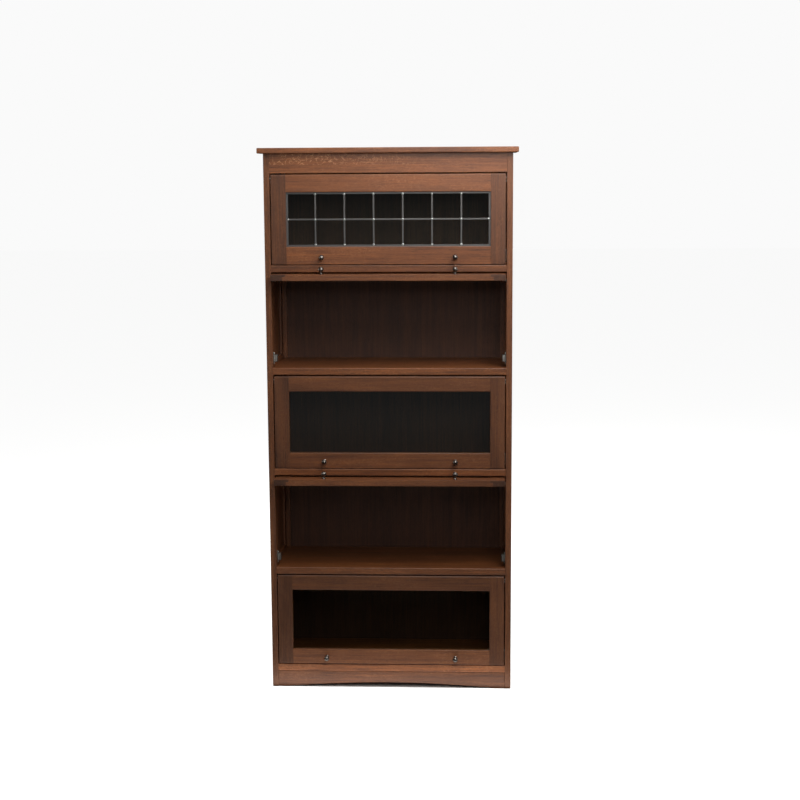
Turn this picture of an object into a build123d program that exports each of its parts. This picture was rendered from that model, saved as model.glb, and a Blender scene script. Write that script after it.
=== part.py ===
from build123d import *
import os

# Barrister bookcase: a tall mission-style oak case of five tiers. Each tier is closed by a glazed
# door that hangs on two pivot pins near its top edge. A door swings up until it is level, then it
# slides back under the shelf above on a pair of support pins.
# Millimetres. X runs to the right, Y from front to back, Z up. The origin is on the floor, in the
# middle of the footprint that the case and its two pushed-in doors take up.

# ---- driving dimensions ----
case_width = 864
case_height = 1917
case_depth = 320
side_thickness = 21
side_stile_width = 60
side_rail_above_shelf = 19
side_rail_below_shelf = 32
side_rail_off_floor = 20
panel_thickness = 9
panel_groove_depth = 8
panel_play = 0.5

top_thickness = 19
top_side_overhang = 19
top_front_overhang = 22
top_edge_round = 3

shelf_thickness = 25
shelf_edge_round = 3
bottom_shelf_top = 85
tier_pitch = 361.5
header_bottom = 1849.5
header_thickness = 20

toe_recess = 1.5
toe_thickness = 20
arch_half_span = 375
arch_rise = 18

back_thickness = 6
back_recess = 2
back_rabbet = 10
batten_width = 16
batten_depth = 12
cleat_size = 20

door_thickness = 21
door_side_gap = 3.5
door_top_gap = 4.5
door_bottom_gap = 3
door_stile_width = 52
door_rail_width = 54
top_door_rail_width = 61
door_top_round = 4
door_edge_round = 1.5
rabbet_width = 10
front_lip = 8
glass_thickness = 3
glass_play = 1
stop_width = 9
stop_setback = 1
end_joint_gap = 0.2
door_stand_out = 56

pivot_below_top = 13.5
pivot_behind_front = 13.5
pivot_radius = 3
pivot_depth_in_stile = 15
pivot_depth_in_groove = 4.5
groove_depth = 5
groove_clearance = 0.3
groove_end_depth = 292

support_radius = 4
support_proud = 14
support_depth_in_side = 8
support_play = 0.3
support_behind_door = 5

catch_proud = 13
catch_depth = 22
catch_height = 25
catch_behind_door = 2
catch_above_shelf = 19
catch_tab_height = 10
catch_tab_thickness = 2
catch_tab_slot = 5
catch_screw_radius = 1.5
catch_screw_head_radius = 3.5
catch_screw_head_height = 1.8
catch_screw_length = 12

strike_width = 12
strike_height = 25
strike_thickness = 1.2
strike_edge_inset = 3

knob_offset = 232.5
knob_above_door_bottom = 24
knob_ball_radius = 9.5
knob_neck_radius = 4
knob_base_radius = 7.5
knob_base_height = 3
knob_reach = 26

screw_radius = 1.75
screw_head_radius = 4
screw_length = 16
screw_rows = 7

came_columns = 7
came_rows = 2
came_width = 6
came_thickness = 5
came_heart = 2
came_face = 1
border_came_showing = 7

# ---- places worked out from them ----
case_front = -(case_depth - door_stand_out) / 2
case_back = case_front + case_depth
half_width = case_width / 2
inner_half = half_width - side_thickness
back_front = case_back - back_recess - back_thickness
shelf_tops = [bottom_shelf_top + tier_pitch * level for level in range(5)]
# Tier 1 is the highest one. Its floor is shelf 1 and its ceiling is the header rail.
tier_floors = shelf_tops[::-1]
tier_ceilings = [header_bottom] + [top - shelf_thickness for top in tier_floors[:-1]]
pivot_heights = [ceiling - door_top_gap - pivot_below_top for ceiling in tier_ceilings]
pushed_in_tiers = (2, 4)

os.makedirs("parts", exist_ok=True)


def slab(x_ends, y_ends, z_ends, mode=Mode.ADD):
    """A rectangular piece of stock between the given pairs of coordinates."""
    middle = (sum(x_ends) / 2, sum(y_ends) / 2, sum(z_ends) / 2)
    with Locations(middle):
        Box(abs(x_ends[1] - x_ends[0]), abs(y_ends[1] - y_ends[0]), abs(z_ends[1] - z_ends[0]), mode=mode)


def rod(centre, radius, length, axis, mode=Mode.ADD):
    """A round rod that starts at the centre point and runs along X or Y."""
    turns = {"+X": (0, 90, 0), "-X": (0, -90, 0), "+Y": (-90, 0, 0), "-Y": (90, 0, 0)}
    with Locations(Location(centre, turns[axis])):
        Cylinder(radius, length, align=(Align.CENTER, Align.CENTER, Align.MIN), mode=mode)


def hand_over(piece, name, place=Location()):
    """Puts a finished piece in its place in the bookcase and writes it out."""
    piece.part.move(place)
    piece.part.label = name
    export_step(piece.part, f"parts/{name}.step")


# ---- top, shelves and base ----
with BuildPart() as top_board:
    slab(
        (-half_width - top_side_overhang, half_width + top_side_overhang),
        (case_front - top_front_overhang, case_back),
        (case_height, case_height + top_thickness),
    )
    rear_face = top_board.faces().sort_by(Axis.Y)[-1]
    rounded = [
        edge
        for face in (top_board.faces().sort_by(Axis.Z)[-1], top_board.faces().sort_by(Axis.Z)[0])
        for edge in face.edges()
        if edge.center().Y < rear_face.center().Y - 1
    ]
    fillet(rounded, top_edge_round)
hand_over(top_board, "top_board")

with BuildPart() as header_rail:
    slab((-inner_half, inner_half), (case_front, case_front + header_thickness), (header_bottom, case_height))
    fillet(header_rail.edges().filter_by(Axis.X).group_by(Axis.Z)[0].sort_by(Axis.Y)[0], door_edge_round)
hand_over(header_rail, "header_rail")

shelf_names = ["shelf_1", "shelf_2", "shelf_3", "shelf_4", "bottom_shelf"]
for shelf_name, shelf_top in zip(shelf_names, tier_floors):
    with BuildPart() as shelf:
        slab((-inner_half, inner_half), (case_front, back_front), (shelf_top - shelf_thickness, shelf_top))
        fillet(shelf.faces().sort_by(Axis.Y)[0].edges().filter_by(Axis.X), shelf_edge_round)
    hand_over(shelf, shelf_name)

toe_top = bottom_shelf_top - shelf_thickness
with BuildPart() as toe_rail:
    with BuildSketch(Plane.XZ.offset(-(case_front + toe_recess))):
        with BuildLine():
            Polyline(
                (-arch_half_span, 0), (-inner_half, 0), (-inner_half, toe_top),
                (inner_half, toe_top), (inner_half, 0), (arch_half_span, 0),
            )
            ThreePointArc((-arch_half_span, 0), (0, arch_rise), (arch_half_span, 0))
        make_face()
    extrude(amount=-toe_thickness)
hand_over(toe_rail, "toe_rail")

with BuildPart() as back_toe_rail:
    slab((-inner_half, inner_half), (back_front - toe_thickness, back_front), (0, toe_top))
hand_over(back_toe_rail, "back_toe_rail")

with BuildPart() as top_cleats:
    cleat_z = (case_height - cleat_size, case_height)
    cleat_y = (case_front + header_thickness, back_front)
    slab((-inner_half, inner_half), (back_front - cleat_size, back_front), cleat_z)
    for side in (-1, 1):
        slab(
            (side * (inner_half - cleat_size), side * inner_half),
            (cleat_y[0], cleat_y[1] - cleat_size - end_joint_gap),
            cleat_z,
        )
hand_over(top_cleats, "top_cleats")

# ---- back ----
screw_xs = [side * (inner_half + back_rabbet / 2) for side in (-1, 1)]
screw_pitch = (case_height - toe_top) / screw_rows
screw_zs = [toe_top + screw_pitch * (row + 0.5) for row in range(screw_rows)]
screw_places = [(x, z) for x in screw_xs for z in screw_zs]

with BuildPart() as back_panel:
    slab(
        (-inner_half - back_rabbet, inner_half + back_rabbet),
        (back_front, back_front + back_thickness),
        (toe_top, case_height),
    )
    for x, z in screw_places:
        rod((x, back_front, z), screw_radius, back_thickness, "+Y", Mode.SUBTRACT)
hand_over(back_panel, "back_panel")

with BuildPart() as back_screws:
    for x, z in screw_places:
        rod((x, back_front + back_thickness, z), screw_head_radius, back_recess - 0.2, "+Y")
        rod((x, back_front + back_thickness, z), screw_radius, screw_length, "-Y")
hand_over(back_screws, "back_screws")

with BuildPart() as corner_battens:
    for floor, ceiling in zip(tier_floors[1:], tier_ceilings[1:]):
        for side in (-1, 1):
            slab(
                (side * (inner_half - batten_width), side * inner_half),
                (back_front - batten_depth, back_front),
                (floor, ceiling),
            )
    for side in (-1, 1):
        slab(
            (side * (inner_half - batten_width), side * inner_half),
            (back_front - batten_depth, back_front),
            (tier_floors[0], case_height - cleat_size),
        )
hand_over(corner_battens, "corner_battens")

# ---- sides: stiles, rails and panels, with a groove for the pivot pins near each ceiling ----
front_stile_y = (case_front, case_front + side_stile_width)
back_stile_y = (case_back - side_stile_width, case_back)
rail_bands = [(side_rail_off_floor, bottom_shelf_top + side_rail_above_shelf)]
for shelf_top in shelf_tops[1:]:
    shelf_bottom = shelf_top - shelf_thickness
    rail_bands.append((shelf_bottom - side_rail_below_shelf, shelf_top + side_rail_above_shelf))
rail_bands.append((header_bottom - side_rail_below_shelf, case_height))
panel_bands = [(low[1], high[0]) for low, high in zip(rail_bands, rail_bands[1:])]
pivot_y = case_front + pivot_behind_front
support_y = case_front + door_thickness + support_behind_door
door_rear_to_pivot = door_thickness - pivot_behind_front
support_heights = [z - door_rear_to_pivot - support_radius - support_play for z in pivot_heights]
catch_y = (
    case_front + door_thickness + catch_behind_door,
    case_front + door_thickness + catch_behind_door + catch_depth,
)
catch_screw_heights = [
    z
    for floor in tier_floors
    for z in (
        floor + catch_above_shelf - catch_tab_height / 2,
        floor + catch_above_shelf + catch_height + catch_tab_height / 2,
    )
]


def across(side, inner, outer):
    """X coordinates between two distances from the middle, on the left (-1) or right (1) side."""
    return (side * inner, side * outer)


def cut_pivot_grooves(side, y_ends, front_end=False):
    groove_half = pivot_radius + groove_clearance
    for z in pivot_heights:
        slab(
            across(side, inner_half, inner_half + groove_depth),
            y_ends,
            (z - groove_half, z + groove_half),
            Mode.SUBTRACT,
        )
        if front_end:
            rod(
                (side * inner_half, pivot_y, z),
                groove_half,
                groove_depth,
                "+X" if side > 0 else "-X",
                Mode.SUBTRACT,
            )


panel_inset = (side_thickness - panel_thickness) / 2
for side, side_name in ((-1, "left"), (1, "right")):
    outward = "+X" if side > 0 else "-X"
    side_x = across(side, inner_half, half_width)
    panel_x = across(side, inner_half + panel_inset, half_width - panel_inset)
    panel_span_z = (panel_bands[0][0] - panel_groove_depth, panel_bands[-1][1] + panel_groove_depth)

    with BuildPart() as front_stile:
        slab(side_x, front_stile_y, (0, case_height))
        fillet(front_stile.faces().sort_by(Axis.Y)[0].edges().filter_by(Axis.Z), door_edge_round)
        slab(
            panel_x,
            (front_stile_y[1] - panel_groove_depth, front_stile_y[1]),
            panel_span_z,
            Mode.SUBTRACT,
        )
        cut_pivot_grooves(side, (pivot_y, front_stile_y[1]), front_end=True)
        for z in support_heights:
            hole_mouth = (side * inner_half, support_y, z)
            rod(hole_mouth, support_radius, support_depth_in_side, outward, Mode.SUBTRACT)
        for z in catch_screw_heights:
            rod(
                (side * inner_half, sum(catch_y) / 2, z),
                catch_screw_radius,
                catch_screw_length - catch_tab_thickness,
                outward,
                Mode.SUBTRACT,
            )
    hand_over(front_stile, f"{side_name}_front_stile")

    with BuildPart() as back_stile:
        slab(side_x, back_stile_y, (0, case_height))
        slab(
            across(side, inner_half, inner_half + back_rabbet),
            (back_front, case_back),
            (toe_top, case_height),
            Mode.SUBTRACT,
        )
        slab(
            panel_x,
            (back_stile_y[0], back_stile_y[0] + panel_groove_depth),
            panel_span_z,
            Mode.SUBTRACT,
        )
        cut_pivot_grooves(side, (back_stile_y[0], case_front + groove_end_depth))
        for x, z in screw_places:
            if x * side > 0:
                rod((x, back_front, z), screw_radius, screw_length - back_thickness, "-Y", Mode.SUBTRACT)
    hand_over(back_stile, f"{side_name}_back_stile")

    with BuildPart() as side_rails:
        for low, high in rail_bands:
            slab(side_x, (front_stile_y[1], back_stile_y[0]), (low, high))
        for low, high in panel_bands:
            for groove_z in ((low - panel_groove_depth, low), (high, high + panel_groove_depth)):
                slab(panel_x, (front_stile_y[1], back_stile_y[0]), groove_z, Mode.SUBTRACT)
        cut_pivot_grooves(side, (front_stile_y[1], back_stile_y[0]))
    hand_over(side_rails, f"{side_name}_rails")

    with BuildPart() as side_panels:
        reach = panel_groove_depth - panel_play
        for low, high in panel_bands:
            slab(
                panel_x,
                (front_stile_y[1] - reach, back_stile_y[0] + reach),
                (low - reach, high + reach),
            )
    hand_over(side_panels, f"{side_name}_panels")

# ---- small metal pieces on the sides ----
with BuildPart() as support_pins:
    for side in (-1, 1):
        outward = "+X" if side > 0 else "-X"
        for z in support_heights:
            start = side * (inner_half - support_proud)
            rod((start, support_y, z), support_radius, support_proud + support_depth_in_side, outward)
hand_over(support_pins, "support_pins")

with BuildPart() as catch_bodies:
    for side in (-1, 1):
        outward = "+X" if side > 0 else "-X"
        for floor in tier_floors:
            low = floor + catch_above_shelf
            slab(across(side, inner_half - catch_proud, inner_half), catch_y, (low, low + catch_height))
            slab(
                across(side, inner_half - catch_tab_thickness, inner_half),
                (catch_y[0] + catch_tab_slot, catch_y[1] - catch_tab_slot),
                (low - catch_tab_height, low + catch_height + catch_tab_height),
            )
        for z in catch_screw_heights:
            rod(
                (side * (inner_half - catch_tab_thickness), sum(catch_y) / 2, z),
                catch_screw_radius,
                catch_tab_thickness,
                outward,
                Mode.SUBTRACT,
            )
hand_over(catch_bodies, "catch_bodies")

with BuildPart() as catch_screws:
    for side in (-1, 1):
        outward = "+X" if side > 0 else "-X"
        tab_face = inner_half - catch_tab_thickness
        for z in catch_screw_heights:
            rod(
                (side * (tab_face - catch_screw_head_height), sum(catch_y) / 2, z),
                catch_screw_head_radius,
                catch_screw_head_height,
                outward,
            )
            rod((side * tab_face, sum(catch_y) / 2, z), catch_screw_radius, catch_screw_length, outward)
hand_over(catch_screws, "catch_screws")

# ---- doors ----
# A door is built upright around its pivot axis: x = 0 in its middle, y = 0 and z = 0 on the axis.
door_half = inner_half - door_side_gap
door_front = -pivot_behind_front
door_rear = door_front + door_thickness
door_top = pivot_below_top
lip_y = (door_front, door_front + front_lip)
behind_lip_y = (door_front + front_lip, door_rear)
sight_half = door_half - door_stile_width
glass_half = sight_half + rabbet_width - glass_play


def closed_place(tier):
    return Location((0, pivot_y, pivot_heights[tier - 1]))


def pushed_in_place(tier, height):
    """The door lies level, its bottom edge standing out in front of the case."""
    pin_behind_edge = height - pivot_below_top
    return Location((0, case_front - door_stand_out + pin_behind_edge, pivot_heights[tier - 1]), (-90, 0, 0))


def make_door(tier):
    height = tier_ceilings[tier - 1] - tier_floors[tier - 1] - door_top_gap - door_bottom_gap
    rail_width = top_door_rail_width if tier == 1 else door_rail_width
    panel_depth = came_thickness if tier == 1 else glass_thickness
    bottom = door_top - height
    place = pushed_in_place(tier, height) if tier in pushed_in_tiers else closed_place(tier)
    sight_z = (bottom + rail_width, door_top - rail_width)
    glass_z = (sight_z[0] - rabbet_width + glass_play, sight_z[1] + rabbet_width - glass_play)
    name = f"door_{tier}"

    with BuildPart() as stiles:
        for side in (-1, 1):
            slab(across(side, sight_half, door_half), (door_front, door_rear), (bottom, door_top))
            slab(
                across(side, sight_half, sight_half + rabbet_width),
                behind_lip_y,
                (bottom, door_top),
                Mode.SUBTRACT,
            )
        fillet(stiles.edges().filter_by(Axis.X).group_by(Axis.Z)[-1].group_by(Axis.Y)[0], door_top_round)
        fillet(stiles.edges().filter_by(Axis.X).group_by(Axis.Z)[0].group_by(Axis.Y)[0], door_edge_round)
        for side in (-1, 1):
            start = (side * (door_half - pivot_depth_in_stile), 0, 0)
            outward = "+X" if side > 0 else "-X"
            rod(start, pivot_radius, pivot_depth_in_stile, outward, Mode.SUBTRACT)
    hand_over(stiles, f"{name}_stiles", place)

    with BuildPart() as rails:
        for inner, outer in ((sight_z[0], bottom), (sight_z[1], door_top)):
            rabbet_edge = inner - rabbet_width if outer == bottom else inner + rabbet_width
            slab((-sight_half, sight_half), lip_y, (inner, outer))
            slab(
                (-sight_half - rabbet_width, sight_half + rabbet_width),
                behind_lip_y,
                (rabbet_edge, outer),
            )
        fillet(rails.edges().filter_by(Axis.X).group_by(Axis.Z)[-1].group_by(Axis.Y)[0], door_top_round)
        fillet(rails.edges().filter_by(Axis.X).group_by(Axis.Z)[0].group_by(Axis.Y)[0], door_edge_round)
    hand_over(rails, f"{name}_rails", place)

    if tier == 1:
        make_leaded_glass(name, place, sight_z, glass_z)
    else:
        with BuildPart() as glass:
            slab((-glass_half, glass_half), (behind_lip_y[0], behind_lip_y[0] + glass_thickness), glass_z)
        hand_over(glass, f"{name}_glass", place)

    with BuildPart() as stops:
        stop_y = (behind_lip_y[0] + panel_depth, door_rear - stop_setback)
        for low in (glass_z[0], glass_z[1] - stop_width):
            slab((-glass_half, glass_half), stop_y, (low, low + stop_width))
        for side in (-1, 1):
            slab(
                across(side, glass_half - stop_width, glass_half),
                stop_y,
                (glass_z[0] + stop_width + end_joint_gap, glass_z[1] - stop_width - end_joint_gap),
            )
    hand_over(stops, f"{name}_stops", place)

    with BuildPart() as knobs:
        with BuildSketch(Plane.XY) as half_profile:
            with BuildLine():
                ball_centre = door_front - knob_reach + knob_ball_radius
                neck_meets_ball = ball_centre + (knob_ball_radius**2 - knob_neck_radius**2) ** 0.5
                Polyline(
                    (0, ball_centre - knob_ball_radius), (0, door_front), (knob_base_radius, door_front),
                    (knob_neck_radius, door_front - knob_base_height), (knob_neck_radius, neck_meets_ball),
                )
                ThreePointArc(
                    (knob_neck_radius, neck_meets_ball),
                    (knob_ball_radius, ball_centre),
                    (0, ball_centre - knob_ball_radius),
                )
            make_face()
        revolve(axis=Axis.Y)
        one_knob = knobs.part
    with BuildPart() as knob_pair:
        for side in (-1, 1):
            add(one_knob.moved(Location((side * knob_offset, 0, bottom + knob_above_door_bottom))))
    hand_over(knob_pair, f"{name}_knobs", place)

    with BuildPart() as pins:
        for side in (-1, 1):
            start = (side * (door_half - pivot_depth_in_stile), 0, 0)
            length = pivot_depth_in_stile + door_side_gap + pivot_depth_in_groove
            rod(start, pivot_radius, length, "+X" if side > 0 else "-X")
    hand_over(pins, f"{name}_pivot_pins", place)

    with BuildPart() as strikes:
        for side in (-1, 1):
            outer_edge = door_half - strike_edge_inset
            strike_low = bottom + catch_above_shelf - door_bottom_gap
            slab(
                across(side, outer_edge - strike_width, outer_edge),
                (door_rear, door_rear + strike_thickness),
                (strike_low, strike_low + strike_height),
            )
    hand_over(strikes, f"{name}_strikes", place)


def make_leaded_glass(name, place, sight_z, glass_z):
    """Clear panes held in an H-section metal came, seven across and two high, in a wide border."""
    came_y = (behind_lip_y[0], behind_lip_y[0] + came_thickness)
    came_bite = (came_width - came_heart) / 2
    pane_y = (came_y[0] + came_face, came_y[1] - came_face)
    pane_edge_x = sight_half - border_came_showing + came_bite
    pane_edge_z = (sight_z[0] + border_came_showing - came_bite, sight_z[1] - border_came_showing + came_bite)
    column_pitch = 2 * sight_half / came_columns
    row_pitch = (sight_z[1] - sight_z[0]) / came_rows
    hearts_x = [-sight_half + column_pitch * column for column in range(1, came_columns)]
    hearts_z = [sight_z[0] + row_pitch * row for row in range(1, came_rows)]
    lefts = [-pane_edge_x] + [x + came_heart / 2 for x in hearts_x]
    rights = [x - came_heart / 2 for x in hearts_x] + [pane_edge_x]
    lows = [pane_edge_z[0]] + [z + came_heart / 2 for z in hearts_z]
    highs = [z - came_heart / 2 for z in hearts_z] + [pane_edge_z[1]]
    cells = [(x_ends, z_ends) for x_ends in zip(lefts, rights) for z_ends in zip(lows, highs)]

    with BuildPart() as panes:
        for x_ends, z_ends in cells:
            slab(x_ends, pane_y, z_ends)
    hand_over(panes, f"{name}_glass", place)

    with BuildPart() as came:
        slab((-glass_half, glass_half), came_y, glass_z)
        for (left, right), (low, high) in cells:
            slab((left, right), pane_y, (low, high), Mode.SUBTRACT)
            slab(
                (left + came_bite, right - came_bite),
                came_y,
                (low + came_bite, high - came_bite),
                Mode.SUBTRACT,
            )
    hand_over(came, f"{name}_came", place)


for door_tier in range(1, 6):
    make_door(door_tier)
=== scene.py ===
# A barrister bookcase in dark stained oak: five tiers behind glazed doors that swing up and slide
# back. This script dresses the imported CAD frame: it models each visible piece at the place and
# size of its CAD node, gives it its material, and sets up a floor, lights and a camera. Metres.
import math
import random

import bmesh
import bpy
import numpy as np
from mathutils import Matrix, Vector


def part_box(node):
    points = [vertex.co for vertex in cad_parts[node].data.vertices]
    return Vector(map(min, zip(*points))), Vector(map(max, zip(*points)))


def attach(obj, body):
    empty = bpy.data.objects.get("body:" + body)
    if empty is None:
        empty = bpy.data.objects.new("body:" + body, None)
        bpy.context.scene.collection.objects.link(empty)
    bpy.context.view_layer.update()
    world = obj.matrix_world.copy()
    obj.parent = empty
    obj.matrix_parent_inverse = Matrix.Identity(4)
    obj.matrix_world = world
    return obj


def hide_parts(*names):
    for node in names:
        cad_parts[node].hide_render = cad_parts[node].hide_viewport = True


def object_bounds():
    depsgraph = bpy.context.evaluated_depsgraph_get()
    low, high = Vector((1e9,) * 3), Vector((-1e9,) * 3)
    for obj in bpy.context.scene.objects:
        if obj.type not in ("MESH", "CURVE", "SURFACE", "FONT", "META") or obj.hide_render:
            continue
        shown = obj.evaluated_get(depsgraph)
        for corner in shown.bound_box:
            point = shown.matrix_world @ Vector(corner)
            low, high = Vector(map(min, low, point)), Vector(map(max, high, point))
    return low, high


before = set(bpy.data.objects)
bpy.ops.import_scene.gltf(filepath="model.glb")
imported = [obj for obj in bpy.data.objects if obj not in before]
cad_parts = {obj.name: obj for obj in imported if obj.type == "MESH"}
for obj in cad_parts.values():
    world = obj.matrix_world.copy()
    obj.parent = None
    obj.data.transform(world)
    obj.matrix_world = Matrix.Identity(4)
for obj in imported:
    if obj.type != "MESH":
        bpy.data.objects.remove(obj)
cad_low, cad_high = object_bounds()
random.seed(1907)

MM = 0.001
TIERS = range(1, 6)
SIDES = ((-1, "left"), (1, "right"))
X, Y, Z = 0, 1, 2

# ---------------------------------------------------------------- sizes
front_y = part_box("header_rail")[0].y
inner_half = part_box("header_rail")[1].x
half_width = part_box("right_front_stile")[1].x

eased_edge = 0.8 * MM
worn_edge = 1.4 * MM
joint_edge = 0.25 * MM
sight_edge = 2 * MM
toe_edge = 2.2 * MM
shelf_nose = 3 * MM
top_nose = 3 * MM
door_top_round = 4 * MM
plank_width = 75 * MM
header_joint = 28 * MM

# How pale each board is drawn beside the oak's own colour. These tones are painted light and shade,
# with some board-to-board difference in them as well: level boards get a painted sheen, upright ones
# painted shade, the left stiles, the toe rail and most rails and shelves painted shade, and the bottom
# shelf painted light. A door's rails are given top first.
level_painted_sheen, upright_painted_shade = 1.16, 0.95
left_stile_painted_shade, right_stile_painted_shade, toe_painted_shade = 0.62, 0.8, 0.86
rail_painted_shade = {1: (0.98, 0.97), 2: (0.86, 0.8), 3: (0.7, 0.8), 4: (0.9, 0.86), 5: (0.62, 0.88)}
shelf_painted_light_and_shade = {"shelf_1": 0.8, "shelf_2": 0.9, "shelf_3": 0.88, "shelf_4": 0.76, "bottom_shelf": 1.4}

front_lip = 8 * MM
rabbet_width = 10 * MM
glass_play = 1 * MM
glass_thickness = 3 * MM
came_thickness = 5 * MM
came_width = 6 * MM
border_came_showing = 7 * MM
came_heart = 2 * MM
came_cap = 1 * MM
stop_width = 9 * MM
stop_setback = 1 * MM
knob_radius = 9.5 * MM
knob_reach = 26 * MM
knob_base_radius = 7.5 * MM
knob_neck_radius = 4 * MM
strike_thickness = 1.2 * MM
strike_width = 12 * MM
pin_bevel = 0.7 * MM
pin_buried = 15 * MM
hub = 0.2 * MM
groove_half = 3.3 * MM
groove_depth = 5 * MM
groove_back = front_y + 292 * MM
toe_arch_half = 375 * MM
toe_arch_rise = 18 * MM
toe_arch_steps = 48
catch_tab_thickness, catch_tab_height = 2 * MM, 10 * MM
catch_tab_slot = 5 * MM
catch_pole_half, catch_pole_length = 0.8 * MM, 6 * MM
catch_pole_shifts = (3.2 * MM, 8.6 * MM)


# ---------------------------------------------------------------- modelling by hand
def alone(obj):
    bpy.ops.object.select_all(action="DESELECT")
    obj.select_set(True)
    bpy.context.view_layer.objects.active = obj


def edit(obj, element, test, operator, **settings):
    """Selects the edges or faces that pass the test and runs one edit-mode operator on them."""
    alone(obj)
    bpy.context.tool_settings.mesh_select_mode = (False, element == "edges", element == "faces")
    bpy.ops.object.mode_set(mode="EDIT")
    bpy.ops.mesh.select_all(action="DESELECT")
    mesh = bmesh.from_edit_mesh(obj.data)
    for item in getattr(mesh, element):
        if test(item):
            item.select_set(True)
    bmesh.update_edit_mesh(obj.data)
    operator(**settings)
    bpy.ops.object.mode_set(mode="OBJECT")


def middle(edge):
    return (edge.verts[0].co + edge.verts[1].co) / 2


def runs_along(edge, axis):
    return abs((edge.verts[1].co - edge.verts[0].co).normalized()[axis]) > 0.99


def is_sharp(edge):
    return edge.calc_face_angle(0) > math.radians(50)


def at(value, place):
    return abs(value - place) < 0.02 * MM


def ease(obj, width, test=is_sharp, steps=2):
    edit(obj, "edges", test, bpy.ops.mesh.bevel, offset=width, segments=steps, affect="EDGES")


def block(name, low, high):
    """A rectangular blank between two corners, its place in its mesh."""
    low, high = Vector(low), Vector(high)
    bpy.ops.object.select_all(action="DESELECT")
    bpy.ops.mesh.primitive_cube_add(size=1, location=(low + high) / 2)
    obj = bpy.context.object
    obj.name = name
    obj.scale = high - low
    bpy.ops.object.transform_apply(location=True, rotation=True, scale=True)
    return obj


def pull(obj, test, move):
    """Extrudes the faces that pass the test by the given move."""
    edit(
        obj, "faces", test, bpy.ops.mesh.extrude_region_move, TRANSFORM_OT_translate={"value": tuple(move)}
    )


def score(obj, place, normal):
    """Divides the whole mesh along a plane."""
    edit(
        obj, "faces", lambda face: True, bpy.ops.mesh.bisect,
        plane_co=tuple(place), plane_no=tuple(normal), use_fill=False,
    )


def turned(name, profile, sides=32):
    """A turned piece about Z: a disc drawn out through (radius, height) steps, as on a lathe."""
    bpy.ops.object.select_all(action="DESELECT")
    radius, height = profile[0]
    bpy.ops.mesh.primitive_circle_add(
        vertices=sides, radius=radius, fill_type="NGON", location=(0, 0, height)
    )
    obj = bpy.context.object
    obj.name = name
    bpy.ops.object.transform_apply(location=True, rotation=True, scale=True)
    bpy.context.tool_settings.mesh_select_mode = (False, False, True)
    bpy.ops.object.mode_set(mode="EDIT")
    bpy.ops.mesh.select_all(action="SELECT")
    for next_radius, next_height in profile[1:]:
        bpy.ops.mesh.extrude_region_move(TRANSFORM_OT_translate={"value": (0, 0, next_height - height)})
        scale = next_radius / radius
        bpy.ops.transform.resize(value=(scale, scale, 1), center_override=(0, 0, next_height))
        radius, height = next_radius, next_height
    bpy.ops.mesh.select_all(action="SELECT")
    bpy.ops.mesh.normals_make_consistent(inside=False)
    bpy.ops.object.mode_set(mode="OBJECT")
    return obj


def copied(obj, name, place):
    """A copy with its own mesh, moved by the place matrix inside its mesh."""
    twin = obj.copy()
    twin.data = obj.data.copy()
    twin.name = name
    bpy.context.scene.collection.objects.link(twin)
    twin.data.transform(place)
    return twin


def joined(name, pieces):
    """One object made of several, named for what they are together."""
    bpy.ops.object.select_all(action="DESELECT")
    for piece in pieces:
        piece.select_set(True)
    bpy.context.view_layer.objects.active = pieces[0]
    if len(pieces) > 1:
        bpy.ops.object.join()
    pieces[0].name = name
    return pieces[0]


def discard(obj):
    bpy.data.objects.remove(obj, do_unlink=True)


def cut_away(obj, cutter):
    modifier = obj.modifiers.new("cut", "BOOLEAN")
    modifier.operation = "DIFFERENCE"
    modifier.solver = "EXACT"
    modifier.object = cutter
    alone(obj)
    bpy.ops.object.modifier_apply(modifier=modifier.name)


def turn_to(direction):
    """Turns a piece made about +Z to point along the direction."""
    return Vector((0, 0, 1)).rotation_difference(Vector(direction)).to_matrix().to_4x4()


board_count = 0


def lay_grain(obj, grain, figure=(0.3, 0.3), tone=1.0):
    """Stores how each board lies in the tree: x along its grain, y across its face, z through it.

    grain names the axes in that order, such as "zxy". figure is how bold the ray flecks are at the
    two ends of the board, and tone how much paler or darker the board is drawn: painted light and
    shade, with some board-to-board difference in it too. Light from above glances off the pores of
    level boards, so level boards also get a painted sheen and upright ones painted shade.
    """
    global board_count
    board_count += 1
    mesh = obj.data
    order = ["xyz".index(letter) for letter in grain]
    spots = np.empty(len(mesh.vertices) * 3)
    mesh.vertices.foreach_get("co", spots)
    spots = spots.reshape(-1, 3)[:, order]
    spots -= spots.min(axis=0)
    along = mesh.attributes.new("grain", "FLOAT_VECTOR", "POINT")
    along.data.foreach_set("vector", spots.astype(np.float32).ravel())
    number = mesh.attributes.new("board", "FLOAT", "POINT")
    number.data.foreach_set("value", np.full(len(mesh.vertices), board_count, np.float32))
    flecks = mesh.attributes.new("ray_figure", "FLOAT", "POINT")
    share = spots[:, 0] / spots[:, 0].max()
    flecks.data.foreach_set("value", (figure[0] + (figure[1] - figure[0]) * share).astype(np.float32))
    # The board's tone, painted light and shade, is stored for the oak's colour.
    sheen = mesh.attributes.new("grain_sheen", "FLOAT", "POINT")
    # Painted light and shade: level boards are drawn paler as a painted sheen, upright ones darker.
    tone *= upright_painted_shade if grain[0] == "z" else level_painted_sheen
    sheen.data.foreach_set("value", np.full(len(mesh.vertices), tone, np.float32))
    ends = mesh.attributes.new("end_grain", "FLOAT", "FACE")
    facing = [abs(face.normal[order[0]]) > 0.8 for face in mesh.polygons]
    ends.data.foreach_set("value", np.array(facing, np.float32))
    return obj


def board(name, low, high, grain, nose=None, nose_test=None, cutter=None, edge=eased_edge, **figure):
    """A sanded board: a blank with its chosen edges rounded over and the rest eased."""
    obj = block(name, low, high)
    if nose:
        ease(obj, nose, nose_test, steps=5)
    ease(obj, edge)
    if cutter:
        cut_away(obj, cutter)
    return lay_grain(obj, grain, **figure)


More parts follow.
